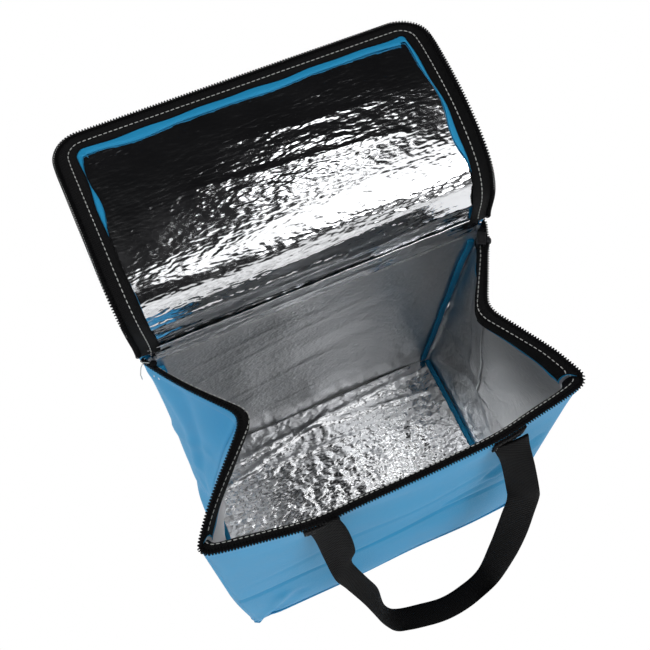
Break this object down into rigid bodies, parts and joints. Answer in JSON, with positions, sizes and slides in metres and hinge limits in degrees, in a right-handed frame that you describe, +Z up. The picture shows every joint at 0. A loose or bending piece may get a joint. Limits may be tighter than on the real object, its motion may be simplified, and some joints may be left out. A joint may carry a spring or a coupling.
{
  "type": "insulated cooler bag",
  "caption": "Soft box-shaped cooler bag with foil-lined foam walls, inward-folding sides, a zipped lid hinged along the back of the mouth and a webbing loop handle on the front and back.",
  "frame": {"origin": "middle of the base's underside, on the surface that the bag stands on", "axes": "+X along the width to the right, +Y towards the back edge where the lid is hinged, +Z up"},
  "size_m": [0.294, 0.3766, 0.3651],
  "materials": {
    "shell_fabric": "satin",
    "foam": "matte",
    "foil": "gloss",
    "board": "matte",
    "zip_tape": "matte",
    "zip_coil": "satin",
    "zip_metal": "satin",
    "webbing": "matte",
    "thread": "matte"
  },
  "bodies": {
    "shell": {"back_fabric": "shell_fabric", "back_foam": "foam", "back_foil": "foil", "back_handle_ends": "webbing", "base_board": "board", "base_fabric": "shell_fabric", "base_foam": "foam", "base_foil": "foil", "front_lower_fabric": "shell_fabric", "front_lower_foam": "foam", "front_lower_foil": "foil", "hinge_strip": "shell_fabric", "left_back_upper_fabric": "shell_fabric", "left_back_upper_foam": "foam", "left_back_upper_foil": "foil", "left_front_upper_fabric": "shell_fabric", "left_front_upper_foam": "foam", "left_front_upper_foil": "foil", "left_lower_fabric": "shell_fabric", "left_lower_foam": "foam", "left_lower_foil": "foil", "left_rim_coil": "zip_coil", "left_rim_tape": "zip_tape", "right_back_upper_fabric": "shell_fabric", "right_back_upper_foam": "foam", "right_back_upper_foil": "foil", "right_front_upper_fabric": "shell_fabric", "right_front_upper_foam": "foam", "right_front_upper_foil": "foil", "right_lower_fabric": "shell_fabric", "right_lower_foam": "foam", "right_lower_foil": "foil", "right_rim_coil": "zip_coil", "right_rim_tape": "zip_tape", "zip_closed_end": "zip_coil", "zip_open_end": "zip_coil"},
    "front_wall": {"front_handle_ends": "webbing", "front_rim_coil": "zip_coil", "front_rim_tape": "zip_tape", "front_upper_fabric": "shell_fabric", "front_upper_foam": "foam", "front_upper_foil": "foil"},
    "lid_back": {"lid_back_coil": "zip_coil", "lid_back_fabric": "shell_fabric", "lid_back_foam": "foam", "lid_back_foil": "foil", "lid_back_tape": "zip_tape"},
    "lid_front": {"lid_front_coil": "zip_coil", "lid_front_fabric": "shell_fabric", "lid_front_foam": "foam", "lid_front_foil": "foil", "lid_front_tape": "zip_tape"},
    "left_fold_back": {"left_back_fold": "shell_fabric"},
    "left_fold_front": {"left_front_fold": "shell_fabric"},
    "right_fold_back": {"right_back_fold": "shell_fabric"},
    "right_fold_front": {"right_front_fold": "shell_fabric"},
    "slider": {"slider": "zip_metal"},
    "pull_tab": {"pull_tab": "zip_metal"},
    "front_handle": {"front_handle": "webbing"},
    "back_handle": {"back_handle": "webbing"}
  },
  "joints": [
    {"name": "lid_hinge", "type": "hinge", "parent": "shell", "child": "lid_back", "pos_m": [0.014, 0.09, 0.2895], "axis": [-1, 0, 0], "range_deg": [-92, 15]},
    {"name": "lid_curl", "type": "hinge", "parent": "lid_back", "child": "lid_front", "pos_m": [0.014, 0.09174, 0.33947], "axis": [-1, 0, 0], "range_deg": [-78.81, 12.86]},
    {"name": "front_wall_lean", "type": "hinge", "parent": "shell", "child": "front_wall", "pos_m": [0.014, -0.0772, 0.098], "axis": [-1, 0, 0], "range_deg": [-11.54, 0]},
    {"name": "left_fold_back_swing", "type": "hinge", "parent": "shell", "child": "left_fold_back", "pos_m": [-0.13503, 0.006, 0.098], "axis": [0, 1, 0], "range_deg": [-14.87, 0.01]},
    {"name": "left_fold_front_swing", "type": "hinge", "parent": "front_wall", "child": "left_fold_front", "pos_m": [-0.13503, -0.0772, 0.098], "axis": [0.6105, 0.788, -0.0796], "range_deg": [-18.81, 0.01]},
    {"name": "right_fold_back_swing", "type": "hinge", "parent": "shell", "child": "right_fold_back", "pos_m": [0.14497, 0.006, 0.098], "axis": [0, -1, 0], "range_deg": [-11.84, 0.01]},
    {"name": "right_fold_front_swing", "type": "hinge", "parent": "front_wall", "child": "right_fold_front", "pos_m": [0.14497, -0.0772, 0.098], "axis": [0.6962, -0.7142, 0.0722], "range_deg": [-16.52, 0.01]},
    {"name": "slider_slide", "type": "slide", "parent": "shell", "child": "slider", "axis": [-0.5052, -0.863, 0], "range_m": [0, 0.036]},
    {"name": "pull_tab_swing", "type": "hinge", "parent": "slider", "child": "pull_tab", "pos_m": [0.14741, 0.06958, 0.2805], "axis": [-0.5052, -0.863, 0], "range_deg": [0, 165]},
    {"name": "front_handle_swing", "type": "hinge", "parent": "front_wall", "child": "front_handle", "pos_m": [0.01319, -0.05888, 0.26], "axis": [1, 0, 0], "range_deg": [-159.3, 0]},
    {"name": "back_handle_swing", "type": "hinge", "parent": "shell", "child": "back_handle", "pos_m": [0.01319, 0.0928, 0.26], "axis": [-1, 0, 0], "range_deg": [-100, 0]}
  ],
  "couplings": [
    {"joint": "lid_curl", "follows": "lid_hinge", "ratio": 0.85652},
    {"joint": "left_fold_back_swing", "follows": "front_wall_lean", "ratio": 1.2879},
    {"joint": "left_fold_front_swing", "follows": "front_wall_lean", "ratio": 1.6288},
    {"joint": "right_fold_back_swing", "follows": "front_wall_lean", "ratio": 1.0256},
    {"joint": "right_fold_front_swing", "follows": "front_wall_lean", "ratio": 1.4312}
  ]
}
